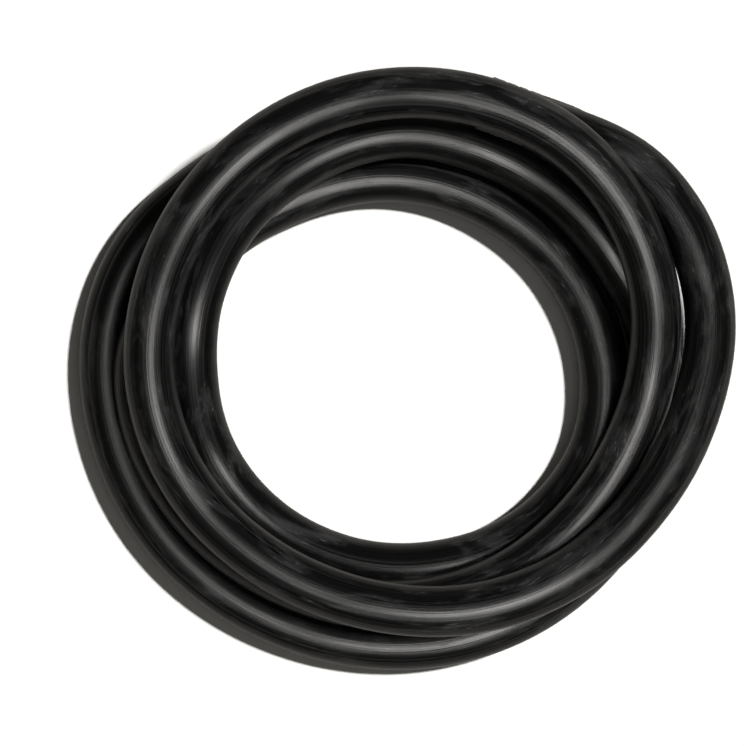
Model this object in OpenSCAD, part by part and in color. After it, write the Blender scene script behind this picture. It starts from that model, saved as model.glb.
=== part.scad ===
// Soaker hose, loosely coiled, with a swivel inlet nut and a screw plug at its closed end.

/* [Hose] */
// Outer diameter of the hose
hose_d = 24; // [23.6:0.1:24]
// Diameter of the water passage
bore_d = 16; // [16:0.1:16.2]
// Sides of the hose's section
hose_sides = 12; // [8:4:12]

/* [Ferrules] */
// Length of each sleeve over the hose
ferrule_len = 22; // [16:1:24]
// Wall of the inlet sleeve
inlet_wall = 1.2; // [0.8:0.1:1.2]
// Wall of the closed end's sleeve
end_wall = 0.7; // [0.6:0.1:0.7]
// Thickness of each sleeve's end lip
lip = 1.2; // [1:0.1:1.4]

/* [Inlet] */
// Diameter across the swivel nut's grips
nut_d = 31; // [30:0.5:31]
// Length of the swivel nut
nut_len = 17; // [16:0.5:18]
// Diameter of the nut's thread crests, for a 3/4 inch hose thread
thread_d = 25; // [24.8:0.1:25.2]
// Distance between thread turns
thread_pitch = 2.2; // [2.2:0.1:2.3]
// Diameter of the hole in the restrictor disc
restrictor_d = 2.5; // [1.5:0.5:4]

/* [Closed end] */
// Diameter of the plug's head
plug_d = 20; // [18:0.5:21]
// Height of the plug's head
plug_h = 4; // [3:0.5:5]
// Diameter of the plug's shank
shank_d = 10.7; // [10:0.1:10.8]

/* [Hidden] */
$fn = 64;
hose_r = hose_d / 2;
bore_r = bore_d / 2;
ferrule_r = hose_r + 0.15;         // bore of both sleeves
tail_r = bore_r - 0.1;             // tubes that sit in the hose
tail_in = 20;                      // how far they reach in
neck_r = bore_r;                   // neck that the nut turns on
neck_fit = 0.08;                   // running clearance of the nut on the neck
neck_len = 6;
flange_r = 12.2;
flange_h = 2;
nut_back = 3;                      // wall of the nut behind the flange
relief_r = 12.9;                   // room for flange and washer in the nut
step_gap = 0.4;                    // clearance between faces that turn
washer_h = 2.6;
disc_r = 7;                        // pocket of restrictor and screen
disc_h = 1.2;
screen_h = 0.6;
collar_h = 2.8;
gasket_h = 1.4;
shank_fit = 0.08;
shank_len = 12;
chamfer = 0.6;
sleeve_beads = 3;

// The coil's middle, from the middle of the part's base
coil_x = -0.8;
coil_y = -1.1;

// The route down the hose from the closed end, clockwise from above:
// [angle, distance from the coil's middle, height of the hose's middle]
route = [
    [58, 136, 41], [50, 142, 41.5], [42, 147.5, 43.5], [34, 150, 45], [25, 150.5, 45.5], [10, 147, 46],
    [-10, 137, 49], [-30, 128, 51.5], [-50, 121, 55], [-70, 114.5, 56.5], [-90, 109, 56],
    [-110, 106.5, 54], [-130, 107.5, 53], [-150, 111, 53], [-180, 116.5, 57.5], [-200, 119.5, 59.5],
    [-220, 123, 59], [-240, 126.5, 60], [-260, 129.5, 64],
    [-275, 131, 68], [-290, 132, 69], [-305, 132.5, 68], [-320, 130.5, 62.5], [-340, 125, 51.5],
    [-360, 117.5, 39.5], [-380, 111, 35.5], [-400, 107.5, 34.5], [-420, 107, 33.5], [-450, 108, 30.5],
    [-480, 111, 29], [-510, 117.5, 29], [-525, 121, 30], [-540, 123, 29.5], [-550, 121, 26.5],
    [-560, 115.5, 21], [-570, 110, 15], [-581, 104.5, 12.5], [-600, 98, 12],
    [-630, 94, 12], [-660, 92, 12], [-690, 94, 12], [-720, 97, 12], [-740, 98.5, 12], [-760, 97, 12],
    [-780, 94.5, 12], [-800, 92, 12], [-830, 92, 12], [-850, 93.5, 12.5], [-870, 95.5, 16.5],
    [-880, 96.5, 20.5], [-890, 97, 27.5], [-900, 97.5, 35], [-910, 99, 41], [-920, 101, 43],
    [-930, 103, 42], [-941, 105.5, 39], [-960, 108.5, 34.5],
    [-990, 114, 30.5], [-1005, 113.5, 26.5], [-1020, 113.5, 24], [-1050, 115.5, 24], [-1065, 119.5, 18],
    [-1080, 122.5, 13], [-1100, 125.5, 12], [-1120, 127, 12], [-1150, 128, 12], [-1180, 128.5, 12],
    [-1200, 130.5, 12], [-1230, 136, 12], [-1260, 140.5, 12], [-1270, 141, 12], [-1280, 140, 12],
    [-1290, 137, 12], [-1300, 132, 12], [-1310, 128, 12], [-1320, 126.5, 12],
    [-1335, 128, 12], [-1350, 130.5, 12], [-1370, 135, 12], [-1380, 138.5, 13], [-1386, 141.5, 14],
    [-1393, 143.5, 15.5]
];
first_ring = 54;                   // angle of the first ring on the curved stretch
ring_step = 18;
ring_count = 81;

// Both ends are straight: middle of the hose's end face, from the coil's middle, and the way out
end_at = [40.5, 127, 43];
end_turn = 160;
end_rise = 4;
inlet_at = [117.5, 85, 16];
inlet_turn = -47;
inlet_rise = 0;
straight = 26;

function heading(turn, rise) = [cos(turn) * cos(rise), sin(turn) * cos(rise), sin(rise)];

// A smooth curve through the route: which stretch an angle lies on, the slope at a point, the value
function stretch(a, i = 0) =
    (i >= len(route) - 2 || a >= route[i + 1][0]) ? i : stretch(a, i + 1);
function slope(i, c) =
    let (low = max(0, i - 1), high = min(len(route) - 1, i + 1))
    (route[high][c] - route[low][c]) / (route[high][0] - route[low][0]);
function blend(i, t, w, c) =
    (2 * t * t * t - 3 * t * t + 1) * route[i][c] + (t * t * t - 2 * t * t + t) * w * slope(i, c)
    + (3 * t * t - 2 * t * t * t) * route[i + 1][c] + (t * t * t - t * t) * w * slope(i + 1, c);
function on_route(a) =
    let (i = stretch(a), w = route[i + 1][0] - route[i][0], t = (a - route[i][0]) / w,
         r = blend(i, t, w, 1), z = blend(i, t, w, 2))
    [r * cos(a), r * sin(a), z];

centres = concat(
    [end_at, end_at - straight * heading(end_turn, end_rise)],
    [for (k = [0 : ring_count - 1]) on_route(first_ring - ring_step * k)],
    [inlet_at - straight * heading(inlet_turn, inlet_rise), inlet_at]
);

function unit(v) = v / norm(v);
function ring(k, radius) =
    let (last = len(centres) - 1,
         along = unit(centres[min(last, k + 1)] - centres[max(0, k - 1)]),
         side = unit(cross(along, [0, 0, 1])), up = cross(side, along))
    [for (n = [0 : hose_sides - 1])
        let (a = 360 * n / hose_sides) centres[k] + radius * (cos(a) * side + sin(a) * up)];

// A closed tube: outer skin, inner skin and the two ring-shaped end faces
module swept_tube(outer, inner) {
    rings = len(centres);
    m = hose_sides;
    points = concat(
        [for (k = [0 : rings - 1]) each ring(k, outer)],
        [for (k = [0 : rings - 1]) each ring(k, inner)]
    );
    skin = rings * m;
    outer_faces = [for (k = [0 : rings - 2], n = [0 : m - 1])
        let (a = k * m + n, b = k * m + (n + 1) % m) [[a, b, b + m], [a, b + m, a + m]]];
    inner_faces = [for (k = [0 : rings - 2], n = [0 : m - 1])
        let (a = skin + k * m + n, b = skin + k * m + (n + 1) % m) [[a, b + m, b], [a, a + m, b + m]]];
    last = (rings - 1) * m;
    caps = [for (n = [0 : m - 1])
        let (b = (n + 1) % m)
        [[n, skin + n, skin + b], [n, skin + b, b],
         [last + n, last + b, skin + last + b], [last + n, skin + last + b, skin + last + n]]];
    faces = concat(
        [for (pair = outer_faces) each pair],
        [for (pair = inner_faces) each pair],
        [for (four = caps) each four]
    );
    polyhedron(points = points, faces = faces, convexity = 10);
}

// Puts a fitting's own axis, +Z out of the hose, on either end of the hose
module on_end() {
    translate(end_at) rotate([0, 90 - end_rise, end_turn]) children();
}
module on_inlet() {
    translate(inlet_at) rotate([0, 90 - inlet_rise, inlet_turn]) children();
}
module on_coil() {
    translate([coil_x, coil_y, 0]) children();
}
module at(z) {
    translate([0, 0, z]) children();
}
module pipe(outer, inner, h) {
    difference() {
        cylinder(r = outer, h = h);
        at(-1) cylinder(r = inner, h = h + 2);
    }
}

// Sleeve over the hose, with shallow crimp grooves and a lip that closes on the tail's neck
module sleeve(wall) {
    rim = ferrule_r + wall;
    difference() {
        at(-ferrule_len) cylinder(r = rim, h = ferrule_len + lip);
        at(-ferrule_len - 1) cylinder(r = ferrule_r, h = ferrule_len + 1);
        at(-1) cylinder(r = neck_r + 0.1, h = lip + 2);
        for (k = [1 : sleeve_beads])
            at(-k * ferrule_len / (sleeve_beads + 1) - 1) pipe(rim + 1, rim - wall / 3, 2);
    }
}

// Tube in the hose's bore with three barbs
module barbed_tube(through) {
    difference() {
        union() {
            at(-tail_in) cylinder(r = tail_r - 0.6, h = tail_in + 0.1);
            for (k = [0 : 2])
                at(-tail_in + 1 + 6 * k) cylinder(r1 = tail_r - 0.6, r2 = tail_r, h = 3);
        }
        at(-tail_in - 1) cylinder(r = through, h = tail_in + 2);
    }
}

module hose() {
    color("#1c1c1c") on_coil() swept_tube(hose_r, bore_r / cos(180 / hose_sides));
}

module inlet_ferrule() {
    color("#a9abad") on_coil() on_inlet() sleeve(inlet_wall);
}

flange_z = lip + neck_len;         // where the tail's flange starts
module inlet_tail() {
    through = tail_r - 2;
    color("#a9abad") on_coil() on_inlet() difference() {
        union() {
            barbed_tube(through);
            cylinder(r = neck_r, h = flange_z + 0.1);
            at(lip) cylinder(r = neck_r + 1.6, h = 1);
            at(flange_z) cylinder(r = flange_r, h = flange_h);
        }
        at(-1) cylinder(r = through, h = flange_z + flange_h + 2);
        at(flange_z + flange_h - disc_h) cylinder(r = disc_r + 0.05, h = disc_h + 1);
    }
}

nut_z = flange_z - step_gap - nut_back;
module inlet_nut() {
    relief = step_gap + flange_h + washer_h;
    grips = 16;
    color("#b4b6b8") on_coil() on_inlet() at(nut_z) difference() {
        union() {
            cylinder(r = nut_d / 2 - 0.8, h = nut_len);
            at(1.5) for (k = [0 : grips - 1])
                rotate(k * 360 / grips) translate([nut_d / 2 - 1.6, 0, 0]) cylinder(r = 1.6, h = nut_len - 3, $fn = 24);
        }
        at(-1) cylinder(r = neck_r + neck_fit, h = nut_len);
        at(nut_back) cylinder(r = relief_r, h = relief);
        at(nut_back + relief - 0.1) cylinder(r = thread_d / 2, h = nut_len);
        for (k = [0 : 2])
            at(nut_back + relief + 1.4 + thread_pitch * k) rotate_extrude()
                polygon([[thread_d / 2 - 0.1, -0.8], [thread_d / 2 + 0.9, -0.2],
                         [thread_d / 2 + 0.9, 0.2], [thread_d / 2 - 0.1, 0.8]]);
    }
}

module inlet_washer() {
    color("#a8352a") on_coil() on_inlet() at(flange_z + flange_h) pipe(flange_r, disc_r + 0.3, washer_h);
}

module flow_restrictor() {
    color("#e8e4d8") on_coil() on_inlet() at(flange_z + flange_h - disc_h) difference() {
        cylinder(r = disc_r, h = disc_h);
        at(-1) cylinder(r = restrictor_d / 2, h = disc_h + 2);
    }
}

module filter_screen() {
    color("silver") on_coil() on_inlet() at(flange_z + flange_h) difference() {
        cylinder(r = disc_r, h = screen_h);
        for (circle_r = [2, 4, 5.8], k = [0 : circle_r * 3 - 1])
            rotate(k * 360 / floor(circle_r * 3)) translate([circle_r, 0, -1])
                cylinder(r = 0.45, h = screen_h + 2, $fn = 16);
    }
}

module end_ferrule() {
    color("#26282a") on_coil() on_end() sleeve(end_wall);
}

module end_tail() {
    color("#26282a") on_coil() on_end() difference() {
        union() {
            barbed_tube(shank_d / 2 + shank_fit);
            cylinder(r = neck_r, h = lip + 0.1);
            at(lip) cylinder(r = hose_r - 0.4, h = collar_h);
        }
        at(-1) cylinder(r = shank_d / 2 + shank_fit, h = lip + collar_h + 2);
    }
}

seat_z = lip + collar_h + 0.3;
module end_gasket() {
    color("#202020") on_coil() on_end() at(seat_z) pipe(plug_d / 2 - 0.8, shank_d / 2 + 0.4, gasket_h);
}

module end_plug() {
    color("#2c2e30") on_coil() on_end() difference() {
        union() {
            at(seat_z + gasket_h) cylinder(r = plug_d / 2, h = plug_h - chamfer);
            at(seat_z + gasket_h + plug_h - chamfer)
                cylinder(r1 = plug_d / 2, r2 = plug_d / 2 - chamfer, h = chamfer);
            at(seat_z + gasket_h - shank_len) cylinder(r = shank_d / 2, h = shank_len + 0.1);
        }
        at(seat_z + gasket_h + plug_h - 2) cylinder(r = 4, h = 3, $fn = 6);
    }
}

hose();
inlet_ferrule();
inlet_tail();
inlet_nut();
inlet_washer();
flow_restrictor();
filter_screen();
end_ferrule();
end_tail();
end_plug();
end_gasket();
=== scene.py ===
import math
import bmesh
import bpy
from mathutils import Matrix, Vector


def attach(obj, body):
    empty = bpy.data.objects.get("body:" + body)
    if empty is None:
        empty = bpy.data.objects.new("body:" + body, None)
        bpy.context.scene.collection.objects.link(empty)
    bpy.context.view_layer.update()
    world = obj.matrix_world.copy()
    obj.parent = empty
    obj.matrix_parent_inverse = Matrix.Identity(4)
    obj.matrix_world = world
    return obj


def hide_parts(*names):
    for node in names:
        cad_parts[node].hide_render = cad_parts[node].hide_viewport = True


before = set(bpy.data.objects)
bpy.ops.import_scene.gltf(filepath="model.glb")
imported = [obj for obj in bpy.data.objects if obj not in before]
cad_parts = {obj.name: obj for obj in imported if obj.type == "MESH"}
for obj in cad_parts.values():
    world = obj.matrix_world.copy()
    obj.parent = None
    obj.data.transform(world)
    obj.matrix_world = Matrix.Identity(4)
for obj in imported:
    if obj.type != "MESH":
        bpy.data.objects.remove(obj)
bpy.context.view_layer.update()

# Camera, straight above the coil
cameraView = {
    "at": (-0.0136, -0.0001, 2.012),
    "lens": 203.2,             # millimetres, as the sensor's width is
    "sensor": 36.0,
}


def makeCamera(view):
    data = bpy.data.cameras.new("camera")
    data.lens = view["lens"]
    data.sensor_width = view["sensor"]
    camera = bpy.data.objects.new("camera", data)
    camera.location = view["at"]
    bpy.context.scene.collection.objects.link(camera)
    bpy.context.scene.camera = camera


makeCamera(cameraView)
print("camera made")

# The hose's route, as in the part: degrees, then metres from the coil's middle and above the floor
hoseShape = {
    "radius": 0.012,
    "bore": 0.008,
    "sides": 36,
    "boreSides": 20,
    "step": 0.0035,            # ring spacing along the hose
    "middle": Vector((-0.0008, -0.0011, 0.0)),
    "closedEnd": Vector((0.0405, 0.127, 0.043)),
    "closedTurn": 160,
    "closedRise": 4,
    "inletEnd": Vector((0.1175, 0.085, 0.016)),
    "inletTurn": -47,
    "inletRise": 0,
    "straight": 0.026,         # length of the straight stretch at each end
    "straightParts": 8,
    "cornerRounds": 3,
    "rimReach": 0.02,          # tells one end's rims from the other's
    "curveFrom": 55,
    "curveTo": -1388,
    "curveStep": 1.5,
    "waver": 0.00025,          # slow unevenness of the skin, and its scale down and around the hose
    "waverDown": 14.0,
    "waverAround": 0.8,
    "seed": 4.0,
}
hoseRoute = [
    (58, 0.136, 0.041), (50, 0.142, 0.0415), (42, 0.1475, 0.0435), (34, 0.15, 0.045),
    (25, 0.1505, 0.0455), (10, 0.147, 0.046), (-10, 0.137, 0.049), (-30, 0.128, 0.0515),
    (-50, 0.121, 0.055), (-70, 0.1145, 0.0565), (-90, 0.109, 0.056), (-110, 0.1065, 0.054),
    (-130, 0.1075, 0.053), (-150, 0.111, 0.053), (-180, 0.1165, 0.0575), (-200, 0.1195, 0.0595),
    (-220, 0.123, 0.059), (-240, 0.1265, 0.06), (-260, 0.1295, 0.064), (-275, 0.131, 0.068),
    (-290, 0.132, 0.069), (-305, 0.1325, 0.068), (-320, 0.1305, 0.0625), (-340, 0.125, 0.0515),
    (-360, 0.1175, 0.0395), (-380, 0.111, 0.0355), (-400, 0.1075, 0.0345), (-420, 0.107, 0.0335),
    (-450, 0.108, 0.0305), (-480, 0.111, 0.029), (-510, 0.1175, 0.029), (-525, 0.121, 0.03),
    (-540, 0.123, 0.0295), (-550, 0.121, 0.0265), (-560, 0.1155, 0.021), (-570, 0.11, 0.015),
    (-581, 0.1045, 0.0125), (-600, 0.098, 0.012), (-630, 0.094, 0.012), (-660, 0.092, 0.012),
    (-690, 0.094, 0.012), (-720, 0.097, 0.012), (-740, 0.0985, 0.012), (-760, 0.097, 0.012),
    (-780, 0.0945, 0.012), (-800, 0.092, 0.012), (-830, 0.092, 0.012), (-850, 0.0935, 0.0125),
    (-870, 0.0955, 0.0165), (-880, 0.0965, 0.0205), (-890, 0.097, 0.0275), (-900, 0.0975, 0.035),
    (-910, 0.099, 0.041), (-920, 0.101, 0.043), (-930, 0.103, 0.042), (-941, 0.1055, 0.039),
    (-960, 0.1085, 0.0345), (-990, 0.114, 0.0305), (-1005, 0.1135, 0.0265), (-1020, 0.1135, 0.024),
    (-1050, 0.1155, 0.024), (-1065, 0.1195, 0.018), (-1080, 0.1225, 0.013), (-1100, 0.1255, 0.012),
    (-1120, 0.127, 0.012), (-1150, 0.128, 0.012), (-1180, 0.1285, 0.012), (-1200, 0.1305, 0.012),
    (-1230, 0.136, 0.012), (-1260, 0.1405, 0.012), (-1270, 0.141, 0.012), (-1280, 0.14, 0.012),
    (-1290, 0.137, 0.012), (-1300, 0.132, 0.012), (-1310, 0.128, 0.012), (-1320, 0.1265, 0.012),
    (-1335, 0.128, 0.012), (-1350, 0.1305, 0.012), (-1370, 0.135, 0.012), (-1380, 0.1385, 0.013),
    (-1386, 0.1415, 0.014), (-1393, 0.1435, 0.0155),
]


def heading(turn, rise):
    turn, rise = math.radians(turn), math.radians(rise)
    return Vector((math.cos(turn) * math.cos(rise), math.sin(turn) * math.cos(rise), math.sin(rise)))


def slopeAt(index, column):
    low, high = max(0, index - 1), min(len(hoseRoute) - 1, index + 1)
    return (hoseRoute[high][column] - hoseRoute[low][column]) / (hoseRoute[high][0] - hoseRoute[low][0])


def onRoute(angle):
    index = 0
    while index < len(hoseRoute) - 2 and angle < hoseRoute[index + 1][0]:
        index += 1
    width = hoseRoute[index + 1][0] - hoseRoute[index][0]
    t = (angle - hoseRoute[index][0]) / width
    values = []
    for column in (1, 2):
        values.append(
            (2 * t ** 3 - 3 * t ** 2 + 1) * hoseRoute[index][column]
            + (t ** 3 - 2 * t ** 2 + t) * width * slopeAt(index, column)
            + (3 * t ** 2 - 2 * t ** 3) * hoseRoute[index + 1][column]
            + (t ** 3 - t ** 2) * width * slopeAt(index + 1, column)
        )
    turn = math.radians(angle)
    return Vector((values[0] * math.cos(turn), values[0] * math.sin(turn), values[1]))


def softened(points, rounds):
    # takes the corner off where a straight end meets the curve; both end stretches stay where they are
    points = [p.copy() for p in points]
    for _ in range(rounds):
        points = [points[0], points[1]] + [
            (points[k - 1] + points[k] * 2 + points[k + 1]) / 4 for k in range(2, len(points) - 2)
        ] + [points[-2], points[-1]]
    return points


def hoseMiddleLine(shape):
    closedWay = heading(shape["closedTurn"], shape["closedRise"])
    inletWay = heading(shape["inletTurn"], shape["inletRise"])
    parts, length = shape["straightParts"], shape["straight"]
    line = [shape["closedEnd"] - closedWay * (length * k / parts) for k in range(parts + 1)]
    angle = shape["curveFrom"]
    while angle >= shape["curveTo"]:
        line.append(onRoute(angle))
        angle -= shape["curveStep"]
    line += [shape["inletEnd"] - inletWay * (length * k / parts) for k in range(parts, -1, -1)]
    return [p + shape["middle"] for p in softened(line, shape["cornerRounds"])]


def wireObject(name, points):
    mesh = bpy.data.meshes.new(name)
    mesh.from_pydata([tuple(p) for p in points], [(k, k + 1) for k in range(len(points) - 1)], [])
    made = bpy.data.objects.new(name, mesh)
    bpy.context.scene.collection.objects.link(made)
    return made


class Nodes:
    # short way to add nodes to a tree and join their sockets
    def __init__(self, tree):
        self.tree = tree

    def add(self, kind, values=None, **settings):
        made = self.tree.nodes.new(kind)
        for key, value in settings.items():
            setattr(made, key, value)
        for key, value in (values or {}).items():
            if isinstance(value, bpy.types.NodeSocket):
                self.tree.links.new(value, made.inputs[key])
            else:
                made.inputs[key].default_value = value
        return made

    def math(self, operation, a, b=0.0, clamp=False):
        return self.add("ShaderNodeMath", {0: a, 1: b}, operation=operation, use_clamp=clamp).outputs[0]

    def vector(self, operation, a, b=(0.0, 0.0, 0.0)):
        return self.add("ShaderNodeVectorMath", {0: a, 1: b}, operation=operation).outputs[0]


def newSocket(tree, name, kind, direction="INPUT", default=None):
    socket = tree.interface.new_socket(name=name, in_out=direction, socket_type=kind)
    if default is not None:
        socket.default_value = default
    return socket


def tubeTree(shape):
    # a wire becomes a tube with a bore; "along" is metres down the hose, "around" points out from its middle
    tree = bpy.data.node_groups.new("hoseTube", "GeometryNodeTree")
    newSocket(tree, "Geometry", "NodeSocketGeometry")
    newSocket(tree, "Radius", "NodeSocketFloat", default=0.012)
    newSocket(tree, "Bore", "NodeSocketFloat", default=0.008)
    newSocket(tree, "Sides", "NodeSocketInt", default=32)
    newSocket(tree, "Bore Sides", "NodeSocketInt", default=16)
    newSocket(tree, "Step", "NodeSocketFloat", default=0.004)
    newSocket(tree, "Waver", "NodeSocketFloat", default=0.0002)
    newSocket(tree, "Seed", "NodeSocketFloat", default=0.0)
    newSocket(tree, "Material", "NodeSocketMaterial")
    newSocket(tree, "Geometry", "NodeSocketGeometry", "OUTPUT")
    n = Nodes(tree)
    given = tree.nodes.new("NodeGroupInput").outputs
    curve = n.add("GeometryNodeMeshToCurve", {"Mesh": given["Geometry"]}).outputs[0]
    curve = n.add("GeometryNodeResampleCurve", {"Curve": curve, "Length": given["Step"]},
                  mode="LENGTH").outputs[0]
    length = n.add("GeometryNodeSplineParameter").outputs["Length"]
    curve = n.add("GeometryNodeStoreNamedAttribute", {"Geometry": curve, "Name": "along", "Value": length},
                  data_type="FLOAT", domain="POINT").outputs[0]
    skins = []
    for radius, sides in (("Radius", "Sides"), ("Bore", "Bore Sides")):
        circle = n.add("GeometryNodeCurvePrimitiveCircle",
                       {"Resolution": given[sides], "Radius": given[radius]}).outputs[0]
        outward = n.add("ShaderNodeVectorMath", {0: n.add("GeometryNodeInputPosition").outputs[0]},
                        operation="NORMALIZE").outputs[0]
        circle = n.add("GeometryNodeStoreNamedAttribute",
                       {"Geometry": circle, "Name": "around", "Value": outward},
                       data_type="FLOAT_VECTOR", domain="POINT").outputs[0]
        skins.append(n.add("GeometryNodeCurveToMesh", {"Curve": curve, "Profile Curve": circle}).outputs[0])
    along = n.add("GeometryNodeInputNamedAttribute", {"Name": "along"}, data_type="FLOAT").outputs[0]
    around = n.add("GeometryNodeInputNamedAttribute", {"Name": "around"}, data_type="FLOAT_VECTOR").outputs[0]
    slow = n.add("ShaderNodeCombineXYZ", {"Z": n.math("MULTIPLY", along, shape["waverDown"])}).outputs[0]
    spread = (shape["waverAround"], shape["waverAround"], 0.0)
    place = n.vector("ADD", n.vector("MULTIPLY", around, spread), slow)
    noise = n.add("ShaderNodeTexNoise", {"Vector": place, "W": given["Seed"], "Scale": 1.0, "Detail": 1.0},
                  noise_dimensions="4D").outputs[0]
    lift = n.math("MULTIPLY", n.math("SUBTRACT", noise, 0.5), given["Waver"])
    normal = n.add("GeometryNodeInputNormal").outputs[0]
    offset = n.add("ShaderNodeVectorMath", {0: normal, "Scale": lift}, operation="SCALE").outputs[0]
    outer = n.add("GeometryNodeSetPosition", {"Geometry": skins[0], "Offset": offset}).outputs[0]
    joined = n.add("GeometryNodeJoinGeometry")
    tree.links.new(outer, joined.inputs[0])
    tree.links.new(skins[1], joined.inputs[0])
    smooth = n.add("GeometryNodeSetShadeSmooth", {"Geometry": joined.outputs[0]}).outputs[0]
    real = n.add("GeometryNodeRealizeInstances", {"Geometry": smooth}).outputs[0]
    done = n.add("GeometryNodeSetMaterial", {"Geometry": real, "Material": given["Material"]}).outputs[0]
    tree.links.new(done, tree.nodes.new("NodeGroupOutput").inputs[0])
    return tree


def runTree(wire, tree, values):
    # gives the wire object its finished mesh and takes the modifier off
    modifier = wire.modifiers.new("build", "NODES")
    modifier.node_group = tree
    for socket in tree.interface.items_tree:
        if socket.item_type == "SOCKET" and socket.in_out == "INPUT" and socket.name in values:
            modifier[socket.identifier] = values[socket.name]
    wire.update_tag()
    ready = wire.evaluated_get(bpy.context.evaluated_depsgraph_get())
    mesh = bpy.data.meshes.new_from_object(ready)
    wire.modifiers.remove(modifier)
    wire.data = mesh
    return wire


def closeTubeEnds(mesh, firstEnd, reach):
    # joins skin and bore with a ring of faces at each end
    work = bmesh.new()
    work.from_mesh(mesh)
    rims = [edge for edge in work.edges if edge.is_boundary]
    near = [e for e in rims if (e.verts[0].co - firstEnd).length < reach]
    far = [e for e in rims if (e.verts[0].co - firstEnd).length >= reach]
    for rim in (near, far):
        bmesh.ops.bridge_loops(work, edges=rim)
    bmesh.ops.recalc_face_normals(work, faces=work.faces)
    work.to_mesh(mesh)
    work.free()


def newMaterial(name):
    material = bpy.data.materials.new(name)
    material.use_nodes = True
    material.node_tree.nodes.clear()
    n = Nodes(material.node_tree)
    surface = n.add("ShaderNodeBsdfPrincipled")
    out = n.add("ShaderNodeOutputMaterial")
    material.node_tree.links.new(surface.outputs[0], out.inputs["Surface"])
    return material, n, surface


def join(n, source, target):
    n.tree.links.new(source, target)


def mixColour(n, share, a, b):
    made = n.add("ShaderNodeMix", data_type="RGBA")
    for socket, value in (("Factor_Float", share), ("A_Color", a), ("B_Color", b)):
        target = next(s for s in made.inputs if s.identifier == socket)
        if isinstance(value, bpy.types.NodeSocket):
            join(n, value, target)
        else:
            target.default_value = value
    return next(s for s in made.outputs if s.identifier == "Result_Color")


def ranged(n, value, low, high):
    return n.add("ShaderNodeMapRange", {0: value, 1: low, 2: high}, clamp=True).outputs[0]


def dustGroup():
    # worn, dusty skin for any finish: a pale dust mask and a fine height
    tree = bpy.data.node_groups.new("dustAndGrain", "ShaderNodeTree")
    newSocket(tree, "Vector", "NodeSocketVector")
    newSocket(tree, "Patch Scale", "NodeSocketFloat", default=20.0)
    newSocket(tree, "Grain Scale", "NodeSocketFloat", default=900.0)
    newSocket(tree, "Speck Scale", "NodeSocketFloat", default=350.0)
    newSocket(tree, "Dust", "NodeSocketFloat", "OUTPUT")
    newSocket(tree, "Specks", "NodeSocketFloat", "OUTPUT")
    newSocket(tree, "Grain", "NodeSocketFloat", "OUTPUT")
    n = Nodes(tree)
    given = tree.nodes.new("NodeGroupInput").outputs
    patches = n.add("ShaderNodeTexNoise", {"Vector": given["Vector"], "Scale": given["Patch Scale"],
                                           "Detail": 5.0, "Roughness": 0.6}).outputs[0]
    grain = n.add("ShaderNodeTexNoise", {"Vector": given["Vector"], "Scale": given["Grain Scale"],
                                         "Detail": 3.0, "Roughness": 0.6}).outputs[0]
    cells = n.add("ShaderNodeTexVoronoi", {"Vector": given["Vector"], "Scale": given["Speck Scale"]})
    dot = ranged(n, cells.outputs["Distance"], 0.16, 0.05)
    cellTone = n.add("ShaderNodeSeparateColor", {0: cells.outputs["Color"]}).outputs[0]
    chosen = n.math("GREATER_THAN", cellTone, 0.93)
    dust = ranged(n, patches, 0.50, 0.72)
    broken = n.math("MULTIPLY", dust, ranged(n, grain, 0.35, 0.7))
    out = tree.nodes.new("NodeGroupOutput").inputs
    join(n, broken, out["Dust"])
    join(n, n.math("MULTIPLY", dot, chosen), out["Specks"])
    join(n, grain, out["Grain"])
    return tree


rubberLook = {
    "dark": (0.0013, 0.0013, 0.0014, 1.0),
    "pale": (0.0052, 0.0052, 0.0054, 1.0),
    "bloom": (0.048, 0.048, 0.049, 1.0),
    "scuffed": (0.10, 0.10, 0.10, 1.0),
    "roughness": 0.30,
    "roughSwing": 0.26,
    "specular": 0.22,
    "fineLines": (1000, 4),            # noise scales per metre, around the hose and down it
    "broadLines": (300, 3),
    "strongLines": (850, 1.6),
    "bloomPatches": (110, 26),
    "rubbedPatches": (460, 70),
    "scuffScale": 1500.0,
    "scuffSlant": (300.0, 110.0),
    "wear": {"Patch Scale": 30.0, "Grain Scale": 2200.0, "Speck Scale": 300.0},
    "paleLineShare": 0.30,             # how strongly each mark tints the rubber
    "darkLineShare": 0.50,
    "patchShare": 0.55,
    "scuffShare": 0.55,
    "speckShare": 0.35,
    "bumpStrength": 0.5,
    "bumpDistance": 0.0005,
}


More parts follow.
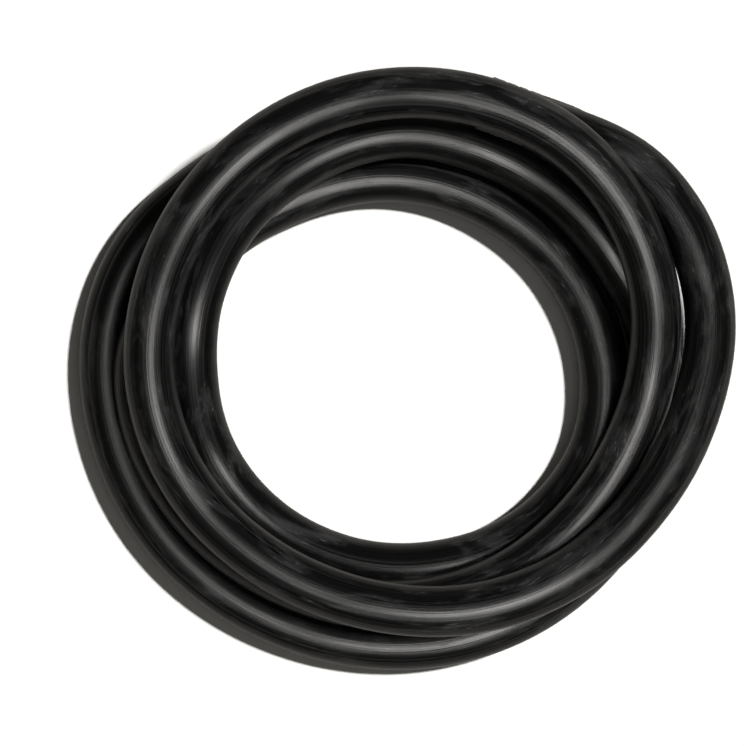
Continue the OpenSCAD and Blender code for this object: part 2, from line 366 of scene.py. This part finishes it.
def hoseRubber(look, dust, radius):
    material, n, surface = newMaterial("hoseRubber")
    along = n.add("ShaderNodeAttribute", attribute_name="along").outputs["Fac"]
    around = n.add("ShaderNodeAttribute", attribute_name="around").outputs["Vector"]
    ring = n.vector("MULTIPLY", around, (radius, radius, 0.0))

    def skinNoise(scales, detail, roughness=0.6, distortion=0.0):
        ringScale, alongScale = scales
        down = n.add("ShaderNodeCombineXYZ", {"Z": n.math("MULTIPLY", along, alongScale)}).outputs[0]
        place = n.vector("ADD", n.vector("MULTIPLY", ring, (ringScale, ringScale, ringScale)), down)
        return n.add("ShaderNodeTexNoise", {"Vector": place, "Scale": 1.0, "Detail": detail,
                                            "Roughness": roughness, "Distortion": distortion}).outputs[0]

    def tint(tone, mask, share, colour):
        return mixColour(n, n.math("MULTIPLY", mask, share), tone, look[colour])

    def sumOf(start, parts):
        total = start
        for value, share in parts:
            total = n.math("ADD", total, n.math("MULTIPLY", value, share))
        return total

    # lines that the die leaves down the hose: fine ones, broad ones, and a few that stand out
    fine = skinNoise(look["fineLines"], 3.0, 0.65)
    broad = skinNoise(look["broadLines"], 2.0)
    lines = skinNoise(look["strongLines"], 1.0)
    paleLine = ranged(n, lines, 0.60, 0.69)
    darkLine = ranged(n, lines, 0.42, 0.33)

    # bloom and rubbed patches, longer than they are wide
    bloom = skinNoise(look["bloomPatches"], 6.0, 0.62, 0.7)
    bloomMask = ranged(n, bloom, 0.50, 0.74)
    rubbed = skinNoise(look["rubbedPatches"], 4.0, 0.7, 0.4)
    rubbedMask = n.math("MULTIPLY", ranged(n, rubbed, 0.56, 0.72), ranged(n, bloom, 0.42, 0.60))

    # short slanting scuffs, fine as hairs
    slantAcross, slantDown = look["scuffSlant"]
    slant = n.add("ShaderNodeCombineXYZ", {"X": n.math("MULTIPLY", along, slantAcross),
                                           "Z": n.math("MULTIPLY", along, slantDown)}).outputs[0]
    scuffPlace = n.vector("ADD", n.vector("MULTIPLY", ring, (look["scuffScale"],) * 3), slant)
    scuff = n.add("ShaderNodeTexNoise", {"Vector": scuffPlace, "Scale": 1.0, "Detail": 1.0}).outputs[0]
    scuffMask = n.math("MULTIPLY", ranged(n, scuff, 0.66, 0.73), ranged(n, bloom, 0.50, 0.60))

    wear = n.add("ShaderNodeGroup", node_tree=dust)
    down = n.add("ShaderNodeCombineXYZ", {"Z": along}).outputs[0]
    join(n, n.vector("ADD", ring, down), wear.inputs["Vector"])
    for name, value in look["wear"].items():
        wear.inputs[name].default_value = value

    patchy = n.math("ADD", n.math("MULTIPLY", bloomMask, look["patchShare"]),
                    n.math("MULTIPLY", rubbedMask, look["patchShare"]), True)
    tone = mixColour(n, ranged(n, fine, 0.38, 0.64), look["dark"], look["pale"])
    tone = tint(tone, paleLine, look["paleLineShare"], "bloom")
    tone = tint(tone, darkLine, look["darkLineShare"], "dark")
    tone = mixColour(n, patchy, tone, look["bloom"])
    tone = tint(tone, scuffMask, look["scuffShare"], "scuffed")
    tone = tint(tone, wear.outputs["Specks"], look["speckShare"], "scuffed")
    join(n, tone, surface.inputs["Base Color"])

    swing = n.math("MULTIPLY", n.math("SUBTRACT", fine, 0.5), look["roughSwing"])
    rough = sumOf(n.math("ADD", swing, look["roughness"]),
                  ((bloomMask, 0.16), (darkLine, 0.05), (scuffMask, 0.15)))
    join(n, rough, surface.inputs["Roughness"])
    surface.inputs["Specular IOR Level"].default_value = look["specular"]

    height = sumOf(n.math("MULTIPLY", fine, 0.5),
                   ((broad, 0.25), (lines, 0.2), (wear.outputs["Grain"], 0.15)))
    bump = n.add("ShaderNodeBump", {"Strength": look["bumpStrength"], "Distance": look["bumpDistance"],
                                    "Height": height})
    join(n, bump.outputs[0], surface.inputs["Normal"])
    return material


def fittingFinish(name, look, dust):
    # turned metal, moulded plastic or rubber with fine grain and dusty patches
    material, n, surface = newMaterial(name)
    place = n.add("ShaderNodeTexCoord").outputs["Object"]
    wear = n.add("ShaderNodeGroup", node_tree=dust)
    join(n, place, wear.inputs["Vector"])
    wear.inputs["Patch Scale"].default_value = look["patches"]
    wear.inputs["Grain Scale"].default_value = look["grain"]
    tone = mixColour(n, ranged(n, wear.outputs["Grain"], 0.3, 0.7), look["dark"], look["light"])
    tone = mixColour(n, n.math("MULTIPLY", wear.outputs["Dust"], look["dustShare"]), tone, look["dust"])
    join(n, tone, surface.inputs["Base Color"])
    rough = n.math("ADD", n.math("MULTIPLY", wear.outputs["Dust"], 0.25), look["roughness"])
    join(n, rough, surface.inputs["Roughness"])
    surface.inputs["Metallic"].default_value = look["metallic"]
    bump = n.add("ShaderNodeBump", {"Strength": look["bump"], "Distance": 0.0002,
                                    "Height": wear.outputs["Grain"]})
    join(n, bump.outputs[0], surface.inputs["Normal"])
    return material


fittingLooks = {
    "turnedMetal": {
        "dark": (0.5, 0.51, 0.52, 1), "light": (0.66, 0.67, 0.68, 1), "dust": (0.3, 0.29, 0.27, 1),
        "dustShare": 0.6, "patches": 60, "grain": 1500, "roughness": 0.3, "metallic": 1.0, "bump": 0.15,
    },
    "blackMetal": {
        "dark": (0.012, 0.012, 0.013, 1), "light": (0.03, 0.03, 0.032, 1), "dust": (0.1, 0.1, 0.1, 1),
        "dustShare": 0.4, "patches": 60, "grain": 1800, "roughness": 0.38, "metallic": 0.0, "bump": 0.15,
    },
    "blackPlastic": {
        "dark": (0.018, 0.018, 0.019, 1), "light": (0.035, 0.035, 0.036, 1), "dust": (0.12, 0.12, 0.12, 1),
        "dustShare": 0.4, "patches": 70, "grain": 2500, "roughness": 0.48, "metallic": 0.0, "bump": 0.3,
    },
    "redRubber": {
        "dark": (0.26, 0.035, 0.02, 1), "light": (0.38, 0.06, 0.035, 1), "dust": (0.4, 0.2, 0.16, 1),
        "dustShare": 0.5, "patches": 80, "grain": 1500, "roughness": 0.62, "metallic": 0.0, "bump": 0.25,
    },
    "blackRubber": {
        "dark": (0.014, 0.014, 0.014, 1), "light": (0.028, 0.028, 0.028, 1), "dust": (0.1, 0.1, 0.1, 1),
        "dustShare": 0.5, "patches": 80, "grain": 1500, "roughness": 0.6, "metallic": 0.0, "bump": 0.25,
    },
    "ivoryPlastic": {
        "dark": (0.7, 0.67, 0.58, 1), "light": (0.8, 0.77, 0.69, 1), "dust": (0.45, 0.42, 0.35, 1),
        "dustShare": 0.4, "patches": 90, "grain": 2500, "roughness": 0.42, "metallic": 0.0, "bump": 0.15,
    },
    "screenSteel": {
        "dark": (0.45, 0.45, 0.46, 1), "light": (0.62, 0.62, 0.63, 1), "dust": (0.25, 0.23, 0.2, 1),
        "dustShare": 0.5, "patches": 120, "grain": 3000, "roughness": 0.25, "metallic": 1.0, "bump": 0.1,
    },
}
nodeLooks = {
    "inlet_ferrule": "turnedMetal",
    "inlet_tail": "turnedMetal",
    "inlet_nut": "turnedMetal",
    "inlet_washer": "redRubber",
    "flow_restrictor": "ivoryPlastic",
    "filter_screen": "screenSteel",
    "end_ferrule": "blackMetal",
    "end_tail": "blackMetal",
    "end_plug": "blackPlastic",
    "end_gasket": "blackRubber",
}

dust = dustGroup()
hoseMaterial = hoseRubber(rubberLook, dust, hoseShape["radius"])
middleLine = hoseMiddleLine(hoseShape)
hose = runTree(wireObject("hoseTube", middleLine), tubeTree(hoseShape), {
    "Radius": hoseShape["radius"] - hoseShape["waver"] / 2,
    "Bore": hoseShape["bore"],
    "Sides": hoseShape["sides"],
    "Bore Sides": hoseShape["boreSides"],
    "Step": hoseShape["step"],
    "Waver": hoseShape["waver"],
    "Seed": hoseShape["seed"],
    "Material": hoseMaterial,
})
closeTubeEnds(hose.data, middleLine[0], hoseShape["rimReach"])
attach(hose, "coiled_hose")
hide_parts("hose")
cadNodes = {name: bpy.data.objects[name] for name in nodeLooks}

for name, lookName in nodeLooks.items():
    material = bpy.data.materials.get(lookName) or fittingFinish(lookName, fittingLooks[lookName], dust)
    cadNodes[name].data.materials.clear()
    cadNodes[name].data.materials.append(material)
print("fittings finished")

# A key light from the right that casts the shadows, and a soft panel that only shows as highlights
studio = {
    "floorColour": (0.90, 0.90, 0.895, 1.0),
    "floorReflected": (0.40, 0.39, 0.37, 1.0),
    "floorSize": 6.0,
    "keyTurn": 28.0,
    "keyRise": 63.0,
    "keyReach": 2.0,
    "keyPower": 4.1,
    "keyAngle": 4.0,
    "panelTurn": -70.0,
    "panelRise": 71.0,
    "panelReach": 2.5,
    "panelSize": 1.0,
    "panelPower": 90.0,
    "warm": (1.0, 0.985, 0.96),
    "worldColour": (1.0, 0.94, 0.84, 1.0),
    "worldPower": 0.06,
}


def makeStudio(look):
    half = look["floorSize"] / 2
    corners = [(-half, -half, 0), (half, -half, 0), (half, half, 0), (-half, half, 0)]
    mesh = bpy.data.meshes.new("floor")
    mesh.from_pydata(corners, [], [(0, 1, 2, 3)])
    floor = bpy.data.objects.new("floor", mesh)
    bpy.context.scene.collection.objects.link(floor)
    material, n, surface = newMaterial("floorPaper")
    # the floor is greyer in reflections, so the rubber's edges stay dark
    rays = n.add("ShaderNodeLightPath").outputs["Is Glossy Ray"]
    join(n, mixColour(n, rays, look["floorColour"], look["floorReflected"]), surface.inputs["Base Color"])
    surface.inputs["Roughness"].default_value = 0.9
    mesh.materials.append(material)

    def hang(name, kind):
        light = bpy.data.lights.new(name, kind)
        light.energy = look[name + "Power"]
        light.color = look["warm"]
        lamp = bpy.data.objects.new(name, light)
        lamp.location = heading(look[name + "Turn"], look[name + "Rise"]) * look[name + "Reach"]
        lamp.rotation_euler = Vector(lamp.location).to_track_quat("Z", "Y").to_euler()
        bpy.context.scene.collection.objects.link(lamp)
        return lamp

    key = hang("key", "SUN")
    key.data.angle = math.radians(look["keyAngle"])
    key.visible_glossy = False
    panel = hang("panel", "AREA")
    panel.data.shape = "SQUARE"
    panel.data.size = look["panelSize"]
    panel.visible_diffuse = False

    world = bpy.data.worlds.new("studio")
    world.use_nodes = True
    back = world.node_tree.nodes["Background"]
    back.inputs[0].default_value = look["worldColour"]
    back.inputs[1].default_value = look["worldPower"]
    bpy.context.scene.world = world
    bpy.context.scene.view_settings.view_transform = "Standard"


makeStudio(studio)
print("studio made")
